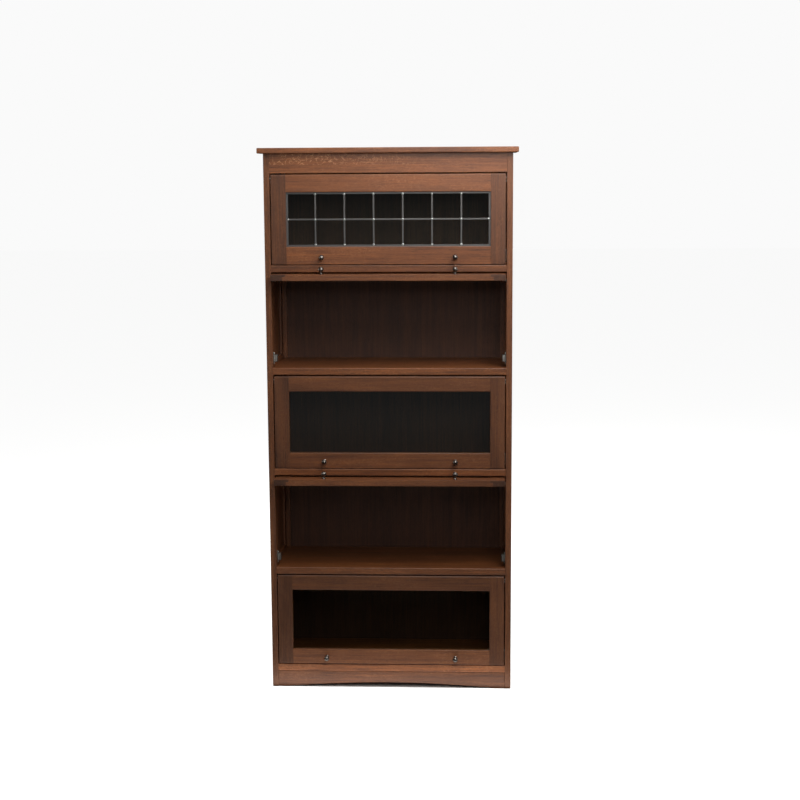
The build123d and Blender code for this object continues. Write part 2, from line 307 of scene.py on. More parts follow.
def settle(obj, body, slot, material, *nodes):
    """Gives a finished piece its material, smooth shading and its body, and hides the CAD nodes that it
    stands for.
    """
    obj.data.materials.clear()
    obj.data.materials.append(material)
    alone(obj)
    bpy.ops.object.shade_smooth_by_angle(angle=math.radians(32))
    flat = obj.modifiers.new("flat_faces", "WEIGHTED_NORMAL")
    flat.keep_sharp = True
    bpy.ops.object.modifier_apply(modifier=flat.name)
    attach(obj, body)
    if nodes:
        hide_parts(*nodes)
    return obj


# ---------------------------------------------------------------- materials
def linear(colour):
    """An sRGB hex colour as linear red, green, blue and alpha."""
    channels = [int(colour[place:place + 2], 16) / 255 for place in (1, 3, 5)]
    return [c / 12.92 if c <= 0.04045 else ((c + 0.055) / 1.055) ** 2.4 for c in channels] + [1.0]


def node(tree, kind, settings=None, inputs=None):
    """Adds a node with its settings. An input is a plain value or another node's output."""
    made = tree.nodes.new(kind)
    for key, value in (settings or {}).items():
        setattr(made, key, value)
    for key, value in (inputs or {}).items():
        if isinstance(value, bpy.types.NodeSocket):
            tree.links.new(value, made.inputs[key])
        else:
            made.inputs[key].default_value = value
    return made


def new_material(name):
    material = bpy.data.materials.new(name)
    material.use_nodes = True
    material.node_tree.nodes.clear()
    return material, material.node_tree


def finish_material(tree, surface):
    node(tree, "ShaderNodeOutputMaterial", inputs={"Surface": surface})


def calculate(tree, operation, first, second=0.0, third=0.0, clamp=False):
    settings = {"operation": operation, "use_clamp": clamp}
    return node(tree, "ShaderNodeMath", settings, {0: first, 1: second, 2: third}).outputs[0]


def blend_colours(tree, amount, first, second, mode="MIX"):
    settings = {"data_type": "RGBA", "blend_type": mode, "clamp_factor": True}
    return node(tree, "ShaderNodeMix", settings, {0: amount, 6: first, 7: second}).outputs[2]


def stained_oak(name, dark, light, ray_strength, base_roughness, coat):
    """Quarter-sawn red oak, wiped with a dark brown stain and sprayed with satin lacquer.

    The stain sinks into the open grain, so fine dark streaks run along each board, with paler
    ray flecks across them, a little change of tone from plank to plank, and darker end grain.
    Each board's colour is then scaled by its tone, which is painted light and shade.
    """
    material, tree = new_material(name)
    grain = node(tree, "ShaderNodeAttribute", {"attribute_name": "grain"}).outputs["Vector"]
    number = node(tree, "ShaderNodeAttribute", {"attribute_name": "board"}).outputs["Fac"]
    end_grain = node(tree, "ShaderNodeAttribute", {"attribute_name": "end_grain"}).outputs["Fac"]
    across = node(tree, "ShaderNodeSeparateXYZ", inputs={0: grain}).outputs["Y"]
    plank = calculate(tree, "FLOOR", calculate(tree, "DIVIDE", across, plank_width))
    seed = calculate(tree, "MULTIPLY_ADD", plank, 7.31, calculate(tree, "MULTIPLY", number, 3.17))
    chance = node(tree, "ShaderNodeTexWhiteNoise", {"noise_dimensions": "1D"}, {"W": seed})
    draw = chance.outputs["Color"]
    shift = node(tree, "ShaderNodeVectorMath", {"operation": "SCALE"}, {0: draw, "Scale": 5.0}).outputs[0]
    place = node(tree, "ShaderNodeVectorMath", {"operation": "ADD"}, {0: grain, 1: shift}).outputs[0]

    def streaks(length_mm, width_mm, detail, distortion=0.0):
        """Noise drawn out along the grain, about length by width in size."""
        size = (1 / (length_mm * MM), 1 / (width_mm * MM), 1 / (width_mm * MM))
        drawn = node(tree, "ShaderNodeVectorMath", {"operation": "MULTIPLY"}, {0: place, 1: size})
        settings = {"Vector": drawn.outputs[0], "Scale": 1.0, "Detail": detail, "Distortion": distortion}
        return node(tree, "ShaderNodeTexNoise", inputs=settings).outputs["Fac"]

    # Growth rings are 2 to 3 mm apart and pores 0.3 mm wide; the pores are drawn at 0.9 mm to show.
    rings = streaks(300, 7.5, 3.0, 0.6)
    fibres = streaks(60, 2.0, 5.0)
    pores = streaks(14, 0.9, 2.0)
    cloud = streaks(260, 60, 2.0)
    ray_field = streaks(24, 22, 2.0, 1.5)

    tone = calculate(tree, "MULTIPLY_ADD", rings, 0.9, calculate(tree, "MULTIPLY", fibres, 0.9))
    tone = calculate(tree, "MULTIPLY_ADD", cloud, 0.5, tone)
    tone = node(tree, "ShaderNodeMapRange", inputs={0: tone, 1: 0.75, 2: 1.55, 3: 0.0, 4: 1.0}).outputs[0]
    colour = blend_colours(tree, tone, linear(dark), linear(light))
    pore_settings = {0: pores, 1: 0.56, 2: 0.68, 3: 0.0, 4: 0.55}
    pore_mask = node(tree, "ShaderNodeMapRange", inputs=pore_settings).outputs[0]
    colour = blend_colours(tree, pore_mask, colour, linear("#1c0f08"))
    ribbon = calculate(tree, "ABSOLUTE", calculate(tree, "SUBTRACT", ray_field, 0.5))
    ray_settings = {0: ribbon, 1: 0.0, 2: 0.03, 3: ray_strength, 4: 0.0}
    ray_mask = node(tree, "ShaderNodeMapRange", inputs=ray_settings).outputs[0]
    figure = node(tree, "ShaderNodeAttribute", {"attribute_name": "ray_figure"}).outputs["Fac"]
    patches = node(tree, "ShaderNodeMapRange", inputs={0: cloud, 1: 0.4, 2: 0.6, 3: 0.25, 4: 1.0}).outputs[0]
    ray_mask = calculate(tree, "MULTIPLY", calculate(tree, "MULTIPLY", ray_mask, figure, clamp=True), patches)
    colour = blend_colours(tree, ray_mask, colour, linear("#a8764e"))
    plank_settings = {0: chance.outputs["Value"], 3: 0.88, 4: 1.1}
    plank_tone = node(tree, "ShaderNodeMapRange", inputs=plank_settings).outputs[0]
    # Painted light and shade: each board's stored tone scales its colour.
    sheen = node(tree, "ShaderNodeAttribute", {"attribute_name": "grain_sheen"}).outputs["Fac"]
    plank_tone = calculate(tree, "MULTIPLY", plank_tone, sheen)
    plank_and_painted_tone_colour = node(tree, "ShaderNodeCombineColor", inputs={0: plank_tone, 1: plank_tone, 2: plank_tone})
    colour = blend_colours(tree, 1.0, colour, plank_and_painted_tone_colour.outputs[0], "MULTIPLY")
    end_share = calculate(tree, "MULTIPLY", end_grain, 0.55)
    colour = blend_colours(tree, end_share, colour, linear("#20120a"))

    roughness = calculate(tree, "MULTIPLY_ADD", pore_mask, 0.25, base_roughness)
    roughness = calculate(tree, "MULTIPLY_ADD", fibres, 0.08, roughness)
    height = calculate(tree, "MULTIPLY_ADD", pore_mask, -0.6, calculate(tree, "MULTIPLY", fibres, 0.35))
    bump = node(
        tree, "ShaderNodeBump", inputs={"Strength": 0.35, "Distance": 0.25 * MM, "Height": height}
    )
    settings = {
        "Base Color": colour, "Roughness": roughness, "IOR": 1.5,
        "Coat Weight": coat, "Coat Roughness": 0.28, "Coat IOR": 1.5, "Normal": bump.outputs[0],
    }
    finish_material(tree, node(tree, "ShaderNodeBsdfPrincipled", inputs=settings).outputs[0])
    return material


def metal(name, colour, roughness, mottle, mottle_mm=3.0):
    """A solid metal surface. Mottle is the patchy change of gloss that handling and plating leave."""
    material, tree = new_material(name)
    place = node(tree, "ShaderNodeTexCoord").outputs["Object"]
    patches = node(
        tree, "ShaderNodeTexNoise", inputs={"Vector": place, "Scale": 1 / (mottle_mm * MM), "Detail": 3.0}
    ).outputs["Fac"]
    dull = [channel * (1 - mottle) for channel in linear(colour)[:3]] + [1.0]
    tint = blend_colours(tree, patches, dull, linear(colour))
    rough_range = {0: patches, 1: 0.3, 2: 0.7, 3: roughness, 4: roughness + 0.15}
    rough = node(tree, "ShaderNodeMapRange", inputs=rough_range).outputs[0]
    settings = {"Base Color": tint, "Metallic": 1.0, "Roughness": rough}
    finish_material(tree, node(tree, "ShaderNodeBsdfPrincipled", inputs=settings).outputs[0])
    return material


def float_glass(name, tint):
    """Clear float glass, polished flat by floating: nearly all light goes straight through, and the
    face mirrors a little head on and much more at a glance."""
    material, tree = new_material(name)
    facing = node(tree, "ShaderNodeLayerWeight", inputs={"Blend": 0.5}).outputs["Facing"]
    glance = calculate(tree, "POWER", facing, 5.0)
    mirror = calculate(tree, "MULTIPLY_ADD", glance, 0.96, 0.04)
    clear = node(tree, "ShaderNodeBsdfTransparent", inputs={"Color": linear(tint)}).outputs[0]
    gloss = node(tree, "ShaderNodeBsdfGlossy", inputs={"Roughness": 0.02}).outputs[0]
    both = node(tree, "ShaderNodeMixShader", inputs={0: mirror, 1: clear, 2: gloss}).outputs[0]
    finish_material(tree, both)
    return material


# Lacquered oak of the case and doors: warm dark brown with a soft sheen.
oak = stained_oak("stained_quarter_sawn_oak", "#3f1e0a", "#874d22", 0.85, 0.46, 0.15)
# The same stain on a rotary-cut plywood back, flatter and duller.
plywood = stained_oak("stained_oak_plywood", "#341a0c", "#613920", 0.0, 0.55, 0.0)
# Oil-rubbed bronze: cast brass, blackened and burnished, so only its high spots shine.
bronze = metal("oil_rubbed_bronze", "#77706a", 0.2, mottle=0.35)
# Zinc came: rolled soft metal, grey and slightly streaked.
zinc = metal("rolled_zinc_came", "#6e6b69", 0.42, mottle=0.25, mottle_mm=6.0)
# Solder: brighter than the came it joins, smooth where it flowed.
solder = metal("tin_lead_solder", "#b9b9b4", 0.25, mottle=0.15)
# Zinc-plated mild steel of pins, screws, plates and catch poles: pale grey, bright edges.
steel = metal("zinc_plated_steel", "#dcdbd6", 0.5, mottle=0.1)
# Pressed steel of the catches, its blackening worn to a dull, patchy grey.
iron = metal("blackened_pressed_steel", "#8d8a83", 0.5, mottle=0.25)
# Float glass of the doors: clear with a faint green cast.
pane = float_glass("clear_float_glass", "#eef3f0")


# ---------------------------------------------------------------- small hardware
def make_pan_head():
    """A cross-recessed pan head, 7 mm across, seat at z = 0 and crown at +z."""
    head = turned(
        "pan_head",
        [
            (hub, 0), (3.5 * MM, 0), (3.5 * MM, 0.7 * MM), (3.2 * MM, 1.3 * MM), (2.4 * MM, 1.7 * MM),
            (hub, 1.8 * MM),
        ],
        sides=20,
    )
    slot_half, slot_reach = 0.4 * MM, 1.9 * MM
    for low, high in (
        ((-slot_reach, -slot_half), (slot_reach, slot_half)),
        ((-slot_half, -slot_reach), (slot_half, slot_reach)),
    ):
        slot = block("slot", (*low, 0.9 * MM), (*high, 3 * MM))
        cut_away(head, slot)
        discard(slot)
    return head


pan_head = make_pan_head()


def screw_heads(name, places, direction):
    """Pan heads seated at the given places, crowns pointing along the direction."""
    heads = []
    for count, place in enumerate(places):
        slot_turn = Matrix.Rotation(random.uniform(0, 1.5), 4, "Z")
        seat = Matrix.Translation(place) @ turn_to(direction) @ slot_turn
        heads.append(copied(pan_head, f"{name}_{count}", seat))
    return joined(name, heads)


# ---------------------------------------------------------------- case
def box_board(name, body, grain, material=oak, **shape):
    """A board exactly where its CAD node is."""
    low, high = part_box(name)
    return settle(board(f"{name}_wood", low, high, grain, **shape), body, "stained_oak", material, name)


top_low, top_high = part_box("top_board")
settle(
    board(
        "top_board_wood", top_low, top_high, "xyz",
        nose=top_nose, nose_test=lambda e: not runs_along(e, Z) and middle(e).y < top_high.y - MM,
    ),
    "case", "stained_oak", oak, "top_board",
)


def make_header():
    """The header is glued up from two strips; the upper one has bold ray flecks at its left end."""
    low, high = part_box("header_rail")
    joint = low.z + header_joint
    strips = [
        board("header_strip", low, (high.x, high.y, joint), "xzy", edge=joint_edge, figure=(0.2, 0.2)),
        board("header_strip", (low.x, low.y, joint), high, "xzy", edge=joint_edge, figure=(1.6, -0.2)),
    ]
    settle(joined("header_rail_wood", strips), "case", "stained_oak", oak, "header_rail")


make_header()

for shelf_name in ("shelf_1", "shelf_2", "shelf_3", "shelf_4", "bottom_shelf"):
    # Each shelf is drawn paler or darker by its tone: painted light and shade.
    box_board(
        shelf_name, "case", "xyz", nose=shelf_nose,
        nose_test=lambda e: runs_along(e, X) and at(middle(e).y, front_y), tone=shelf_painted_light_and_shade[shelf_name],
    )

box_board("back_toe_rail", "case", "xzy")


def make_toe_rail():
    """The toe rail's lower edge is bent up into a shallow arch between its two feet."""
    low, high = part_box("toe_rail")
    rail = block("toe_rail_wood", low, high)
    for step in range(1, toe_arch_steps):
        score(rail, (low.x + (high.x - low.x) * step / toe_arch_steps, 0, 0), (1, 0, 0))
    radius = (toe_arch_half**2 + toe_arch_rise**2) / (2 * toe_arch_rise)
    for vertex in rail.data.vertices:
        if at(vertex.co.z, low.z) and abs(vertex.co.x) < toe_arch_half:
            vertex.co.z = low.z + math.sqrt(radius**2 - vertex.co.x**2) - (radius - toe_arch_rise)
    ease(rail, toe_edge)
    # The toe rail is drawn darker: painted shade.
    lay_grain(rail, "xzy", tone=toe_painted_shade)
    settle(rail, "case", "stained_oak", oak, "toe_rail")


make_toe_rail()


def from_cad(node_name, piece_name):
    """A merged copy of a CAD node's mesh, flat faces in one piece, ready to be eased."""
    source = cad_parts[node_name]
    twin = source.copy()
    twin.data = source.data.copy()
    twin.name = piece_name
    twin.parent = None
    for key in list(twin.keys()):
        del twin[key]
    bpy.context.scene.collection.objects.link(twin)
    edit(twin, "faces", lambda face: True, bpy.ops.mesh.remove_doubles, threshold=0.01 * MM)
    edit(twin, "faces", lambda face: True, bpy.ops.mesh.dissolve_limited, angle_limit=math.radians(1))
    return twin


def boards_of_solids(node_name):
    """The low and high corners of each separate solid of a CAD node made of plain boards."""
    twin = from_cad(node_name, "solids")
    alone(twin)
    bpy.ops.mesh.separate(type="LOOSE")
    pieces = list(bpy.context.selected_objects)
    corners = []
    for piece in pieces:
        spots = np.array([v.co for v in piece.data.vertices])
        corners.append((Vector(spots.min(axis=0)), Vector(spots.max(axis=0))))
        discard(piece)
    return sorted(corners, key=lambda pair: (pair[0].x, pair[0].z, pair[0].y))


def make_board_group(node_name, grain, material=oak, cutter=None, edge=eased_edge):
    pieces = [
        board(f"{node_name}_{count}", low, high, grain, cutter=cutter, edge=edge)
        for count, (low, high) in enumerate(boards_of_solids(node_name))
    ]
    group = joined(f"{node_name}_wood", pieces)
    return settle(group, "case", "stained_oak", material, node_name)


make_board_group("top_cleats", "xyz")
make_board_group("corner_battens", "zxy")

pivot_spots = {tier: sum(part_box(f"door_{tier}_pivot_pins"), Vector()) / 2 for tier in TIERS}
closed_pivot_y = pivot_spots[1].y


def make_groove_cutter(side):
    """Five long slots with a round front end, one for each door's pivot pin on this side."""
    slots = []
    for tier in TIERS:
        z = pivot_spots[tier].z
        inner, outer = sorted((side * (inner_half - MM), side * (inner_half + groove_depth)))
        slot = block(
            "slot",
            (inner, closed_pivot_y - groove_half, z - groove_half), (outer, groove_back, z + groove_half),
        )
        ease(
            slot, groove_half * 0.98,
            lambda e: runs_along(e, X) and middle(e).y < closed_pivot_y, steps=8,
        )
        slots.append(slot)
    return joined("groove_cutter", slots)


def make_side(side, side_name):
    cutter = make_groove_cutter(side)
    for part in ("front_stile", "back_stile"):
        name = f"{side_name}_{part}"
        low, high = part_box(name)
        stile = board(
            f"{name}_wood", low, high, "zyx", cutter=cutter,
            nose=worn_edge, nose_test=lambda e: runs_along(e, Z) and at(middle(e).y, front_y),
        )
        settle(stile, "case", "stained_oak", oak, name)
    make_board_group(f"{side_name}_rails", "yzx", cutter=cutter, edge=joint_edge)
    make_board_group(f"{side_name}_panels", "zyx", edge=joint_edge)
    discard(cutter)


for side, side_name in SIDES:
    make_side(side, side_name)

# ---------------------------------------------------------------- back
back_low, back_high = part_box("back_panel")
back = board("back_panel_ply", back_low, back_high, "zxy", edge=joint_edge)
settle(back, "case", "oak_plywood", plywood, "back_panel")


def solid_middles(node_name):
    return [(low + high) / 2 for low, high in boards_of_solids(node_name)]


screw_seats = [(spot.x, back_high.y, spot.z) for spot in solid_middles("back_screws")]
settle(screw_heads("back_screw_heads", screw_seats, (0, 1, 0)), "case", "steel", steel, "back_screws")


# ---------------------------------------------------------------- pins and catches on the sides
def make_support_pins():
    """Plain plated pins with a chamfered nose and a thin shoulder against the wall."""
    bevel, shoulder_reach, shoulder_depth = 0.6 * MM, 1.6 * MM, 1.2 * MM
    pins = []
    for low, high in boards_of_solids("support_pins"):
        inward = -1 if low.x + high.x > 0 else 1
        radius = (high.z - low.z) / 2
        length = high.x - low.x
        nose = low.x if inward < 0 else high.x
        wall = inner_half - abs(nose)
        shoulder = radius + shoulder_reach
        profile = [
            (hub, 0), (radius - bevel, 0), (radius, bevel), (radius, wall - shoulder_depth),
            (shoulder, wall - shoulder_depth), (shoulder, wall), (radius, wall),
            (radius, length), (hub, length),
        ]
        pin = turned("pin", profile, sides=24)
        place = Matrix.Translation((nose, (low.y + high.y) / 2, (low.z + high.z) / 2))
        pin.data.transform(place @ turn_to((-inward, 0, 0)))
        pins.append(pin)
    settle(joined("support_pins_steel", pins), "case", "steel", steel, "support_pins")


make_support_pins()


def make_catches():
    """Magnetic catches: a pressed housing on a tabbed plate, a magnet between two steel poles."""
    housings, poles, seats = [], [], []
    for low, high in boards_of_solids("catch_bodies"):
        side = 1 if low.x + high.x > 0 else -1
        wall = side * inner_half
        tab_face = wall - side * catch_tab_thickness
        body_low, body_high = low.z + catch_tab_height, high.z - catch_tab_height
        nose_x = wall - side * (high.x - low.x)
        housing = block(
            "housing",
            (min(nose_x, wall), low.y + 1.5 * MM, body_low), (max(nose_x, wall), high.y, body_high),
        )
        ease(housing, 1.6 * MM, lambda e: is_sharp(e) and not at(middle(e).x, wall), steps=3)
        housings.append(housing)
        plate = block(
            "plate",
            (min(wall, tab_face), low.y + catch_tab_slot, low.z),
            (max(wall, tab_face), high.y - catch_tab_slot, high.z),
        )
        ease(plate, 4 * MM, lambda e: runs_along(e, X), steps=5)
        ease(plate, 0.4 * MM)
        housings.append(plate)
        for shift in catch_pole_shifts:
            near = nose_x + side * shift
            pole = block(
                "pole",
                (near - catch_pole_half, low.y, body_low + 3 * MM),
                (near + catch_pole_half, low.y + catch_pole_length, body_high - 3 * MM),
            )
            ease(pole, 0.3 * MM)
            poles.append(pole)
        for z in (low.z + catch_tab_height / 2, high.z - catch_tab_height / 2):
            seats.append((side, (tab_face, (low.y + high.y) / 2, z)))
    settle(joined("catch_housings", housings), "case", "steel", iron, "catch_bodies")
    settle(joined("catch_poles", poles), "case", "steel", steel)
    heads = [
        screw_heads(f"catch_heads_{side}", [place for s, place in seats if s == side], (-side, 0, 0))
        for side in (-1, 1)
    ]
    settle(joined("catch_screw_heads", heads), "case", "steel", steel, "catch_screws")


make_catches()


# ---------------------------------------------------------------- doors
def door_shape(tier):
    """A door's sizes and place, read off its CAD nodes. It is modelled upright about its pivots."""
    pivot = pivot_spots[tier]
    low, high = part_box(f"door_{tier}_stiles")
    upright = high.z - low.z > high.y - low.y
    turn = Matrix.Identity(4) if upright else Matrix.Rotation(-math.pi / 2, 4, "X")
    place = Matrix.Translation(pivot) @ turn
    corners = [place.inverted() @ corner for corner in (low, high)]
    rear, front = max(c.y for c in corners), min(c.y for c in corners)
    knob_low, knob_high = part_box(f"door_{tier}_knobs")
    knob_middle = place.inverted() @ ((knob_low + knob_high) / 2)
    infill = f"door_{tier}_came" if tier == 1 else f"door_{tier}_glass"
    glass_corners = [place.inverted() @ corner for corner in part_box(infill)]
    strike_corners = [place.inverted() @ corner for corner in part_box(f"door_{tier}_strikes")]
    pin_low, pin_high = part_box(f"door_{tier}_pivot_pins")
    return {
        "name": f"door_{tier}", "tier": tier, "place": place,
        "half": high.x, "front": front, "rear": rear,
        "bottom": min(c.z for c in corners), "top": max(c.z for c in corners),
        "glass_half": max(c.x for c in glass_corners),
        "glass_z": sorted(c.z for c in glass_corners),
        "knob_x": knob_high.x - knob_radius, "knob_z": knob_middle.z,
        "pin_end": pin_high.x, "pin_radius": (pin_high.z - pin_low.z) / 2,
        "strike_z": sorted(c.z for c in strike_corners), "strike_x": max(c.x for c in strike_corners),
    }


def door_piece(door, obj, slot, material, *nodes):
    obj.data.transform(door["place"])
    return settle(obj, door["name"], slot, material, *nodes)


def make_stile(door, side, sight_half, inner_ends):
    """An upright with a rabbet behind its inner edge, which is rounded over between the rails."""
    front, rear = door["front"], door["rear"]
    x_ends = sorted((side * sight_half, side * door["half"]))
    lip_rear = front + front_lip
    stile = block("stile", (x_ends[0], front, door["bottom"]), (x_ends[1], lip_rear, door["top"]))
    shoulder = sight_half + rabbet_width
    score(stile, (side * shoulder, 0, 0), (1, 0, 0))

    def behind_shoulder(face):
        centre = face.calc_center_median()
        return at(centre.y, lip_rear) and abs(centre.x) > shoulder

    def at_sight(edge):
        return at(middle(edge).x, side * sight_half) and at(middle(edge).y, front)

    pull(stile, behind_shoulder, (0, rear - lip_rear, 0))
    ease(
        stile, door_top_round,
        lambda e: runs_along(e, X) and at(middle(e).z, door["top"]) and at(middle(e).y, front), steps=6,
    )
    for z in inner_ends:
        score(stile, (0, 0, z), (0, 0, 1))
    ease(
        stile, sight_edge,
        lambda e: runs_along(e, Z) and at_sight(e) and inner_ends[0] < middle(e).z < inner_ends[1], steps=4,
    )
    ease(stile, eased_edge, lambda e: is_sharp(e) and not at_sight(e))
    ease(stile, joint_edge, steps=1)
    # Painted shade: the left stiles are drawn darker than the right ones.
    return lay_grain(stile, "zxy", tone=left_stile_painted_shade if side < 0 else right_stile_painted_shade)


def make_door_rail(door, outer, inner, sight_half):
    """A cross rail: a front lip between the stiles, and a wider back that fills their rabbets."""
    front, rear = door["front"], door["rear"]
    lip_rear = front + front_lip
    is_top = outer > inner
    rabbet_edge = inner + rabbet_width if is_top else inner - rabbet_width
    rail = block("rail", (-sight_half, front, min(inner, outer)), (sight_half, lip_rear, max(inner, outer)))
    score(rail, (0, 0, rabbet_edge), (0, 0, 1))
    beyond = (lambda z: z > rabbet_edge) if is_top else (lambda z: z < rabbet_edge)
    pull(
        rail,
        lambda f: at(f.calc_center_median().y, lip_rear) and beyond(f.calc_center_median().z),
        (0, rear - lip_rear, 0),
    )
    for side in (-1, 1):
        pull(
            rail,
            lambda f: at(f.calc_center_median().x, side * sight_half) and f.calc_center_median().y > lip_rear,
            (side * rabbet_width, 0, 0),
        )
    if is_top:
        ease(
            rail, door_top_round,
            lambda e: runs_along(e, X) and at(middle(e).z, outer) and at(middle(e).y, front), steps=6,
        )
    ease(
        rail, sight_edge,
        lambda e: runs_along(e, X) and at(middle(e).z, inner) and at(middle(e).y, front), steps=4,
    )
    ease(rail, eased_edge, lambda e: is_sharp(e) and runs_along(e, X))
    ease(rail, joint_edge, steps=1)
    # Each rail is drawn darker by its door's tones: painted shade.
    return lay_grain(rail, "xzy", tone=rail_painted_shade[door["tier"]][0 if is_top else 1])


def make_stops(door, panel_depth):
    """Thin square strips pinned in behind the glass, mitred at the corners."""
    low_y, high_y = door["front"] + front_lip + panel_depth, door["rear"] - stop_setback
    z_low, z_high = door["glass_z"]
    half = door["glass_half"]
    stops = []
    for z, inward in ((z_low, 1), (z_high, -1)):
        z_ends = sorted((z, z + inward * stop_width))
        strip = block("stop", (-half, low_y, z_ends[0]), (half, high_y, z_ends[1]))
        for vertex in strip.data.vertices:
            if not at(vertex.co.z, z):
                vertex.co.x -= math.copysign(stop_width, vertex.co.x)
        ease(strip, 0.4 * MM, steps=1)
        stops.append(lay_grain(strip, "xzy"))
    for side in (-1, 1):
        x_ends = sorted((side * half, side * (half - stop_width)))
        strip = block("stop", (x_ends[0], low_y, z_low), (x_ends[1], high_y, z_high))
        for vertex in strip.data.vertices:
            if not at(abs(vertex.co.x), half):
                vertex.co.z -= math.copysign(stop_width, vertex.co.z - (z_low + z_high) / 2)
        ease(strip, 0.4 * MM, steps=1)
        stops.append(lay_grain(strip, "zxy"))
    return joined("stops", stops)


def make_knob():
    """A turned ball knob on a flared foot, made about +Z with its foot at z = 0."""
    centre = knob_reach - knob_radius
    profile = [
        (0.3 * MM, 0), (knob_base_radius, 0), (knob_base_radius, 0.8 * MM),
        (knob_base_radius - 0.7 * MM, 1.5 * MM), (5.2 * MM, 2.6 * MM), (knob_neck_radius, 4.2 * MM),
        (3.7 * MM, 6.0 * MM),
    ]
    start = -math.acos(knob_neck_radius / knob_radius)
    steps = 14
    for step in range(steps + 1):
        angle = start + (math.pi / 2 - 0.03 - start) * step / steps
        profile.append((knob_radius * math.cos(angle), centre + knob_radius * math.sin(angle)))
    return turned("knob", profile, sides=36)


def make_came_strip(name, length, width=came_width, domed=True):
    """H-section came, middle at the origin, lying along X, with rounded faces."""
    half, depth = length / 2, came_thickness
    strip = block(name, (-half, 0, -width / 2), (half, came_cap, width / 2))
    for z in (-came_heart / 2, came_heart / 2):
        score(strip, (0, 0, z), (0, 0, 1))

    def on_heart(face, y):
        centre = face.calc_center_median()
        return at(centre.y, y) and abs(centre.z) < came_heart / 2

    pull(strip, lambda f: on_heart(f, came_cap), (0, depth - 2 * came_cap, 0))
    pull(strip, lambda f: on_heart(f, depth - came_cap), (0, came_cap, 0))
    for side in (-1, 1):
        pull(
            strip,
            lambda f: at(f.calc_center_median().z, side * came_heart / 2)
            and f.calc_center_median().y > depth - came_cap,
            (0, 0, side * (width - came_heart) / 2),
        )

    def on_rim(edge):
        spot = middle(edge)
        outermost = abs(spot.y - depth / 2) > depth / 2 - 0.1 * MM
        return runs_along(edge, X) and at(abs(spot.z), width / 2) and outermost

    ease(strip, 0.7 * MM if domed else 0.4 * MM, on_rim, steps=3)
    return strip


def make_solder_dot(name, place, out, spread):
    """A flat-topped drop of solder, flowed over a joint between cames and facing out."""
    dot = turned(
        name,
        [
            (hub, -0.3 * MM), (spread, -0.3 * MM), (spread * 0.97, 0.15 * MM), (spread * 0.8, 0.5 * MM),
            (spread * 0.5, 0.75 * MM), (hub, 0.85 * MM),
        ],
        sides=14,
    )
    uneven = Matrix.Diagonal((1, random.uniform(0.8, 1.1), 1, 1))
    dot.data.transform(Matrix.Translation(place) @ turn_to(out) @ uneven)
    return dot


def make_leaded_light(door, sight_half, sight_low, sight_high):
    """Fourteen panes in zinc came, seven across and two high, with a solder dot at each joint."""
    columns, rows = 7, 2
    y = door["front"] + front_lip
    glass_low, glass_high = door["glass_z"]
    inner_half_x = sight_half - border_came_showing
    inner_low, inner_high = sight_low + border_came_showing, sight_high - border_came_showing
    column_pitch = 2 * sight_half / columns
    row_pitch = (sight_high - sight_low) / rows
    xs = [-sight_half + column_pitch * column for column in range(1, columns)]
    zs = [sight_low + row_pitch * row for row in range(1, rows)]
    upright = Matrix.Rotation(math.pi / 2, 4, "Y")
    strips = []

    border_width = glass_high - inner_high
    border_long = make_came_strip("border_came", 2 * door["glass_half"], border_width, domed=False)
    for z in (glass_low + border_width / 2, glass_high - border_width / 2):
        strips.append(copied(border_long, "came", Matrix.Translation((0, y, z))))
    discard(border_long)
    border_width = door["glass_half"] - inner_half_x
    border_short = make_came_strip("border_came", inner_high - inner_low, border_width, domed=False)
    border_x, middle_z = door["glass_half"] - border_width / 2, (inner_low + inner_high) / 2
    for side in (-1, 1):
        place = Matrix.Translation((side * border_x, y, middle_z))
        strips.append(copied(border_short, "came", place @ upright))
    discard(border_short)

    long_strip = make_came_strip("came", 2 * inner_half_x)
    strips += [copied(long_strip, "came", Matrix.Translation((0, y, z))) for z in zs]
    discard(long_strip)
    z_edges = [inner_low] + zs + [inner_high]
    for low, high in zip(z_edges, z_edges[1:]):
        gap_low = low if low == inner_low else low + came_width / 2
        gap_high = high if high == inner_high else high - came_width / 2
        short_strip = make_came_strip("came", gap_high - gap_low)
        for x in xs:
            place = Matrix.Translation((x, y, (gap_low + gap_high) / 2)) @ upright
            strips.append(copied(short_strip, "came", place))
        discard(short_strip)
    door_piece(door, joined("door_1_came_strips", strips), "zinc_came", zinc, "door_1_came")

    joints = [(x, z) for x in xs for z in z_edges]
    joints += [(side * inner_half_x, z) for side in (-1, 1) for z in zs]
    dots = []
    for x, z in joints:
        for face_y, out in ((y, -1), (y + came_thickness, 1)):
            spread = random.uniform(3.6, 4.4) * MM
            dots.append(make_solder_dot("dot", (x, face_y, z), (0, out, 0), spread))
    door_piece(door, joined("door_1_solder", dots), "zinc_came", solder)

    bite = (came_width - came_heart) / 2
    x_cells = [-inner_half_x - bite] + xs + [inner_half_x + bite]
    z_cells = [inner_low - bite] + zs + [inner_high + bite]
    panes = []
    for column, (left, right) in enumerate(zip(x_cells, x_cells[1:])):
        for row, (low, high) in enumerate(zip(z_cells, z_cells[1:])):
            sheet = block(
                "pane",
                (
                    left + (came_heart / 2 if column else 0), y + came_cap,
                    low + (came_heart / 2 if row else 0),
                ),
                (
                    right - (came_heart / 2 if column < columns - 1 else 0), y + came_thickness - came_cap,
                    high - (came_heart / 2 if row < rows - 1 else 0),
                ),
            )
            ease(sheet, 0.2 * MM, steps=1)
            panes.append(sheet)
    return joined("door_1_panes", panes)


knob_blank = make_knob()


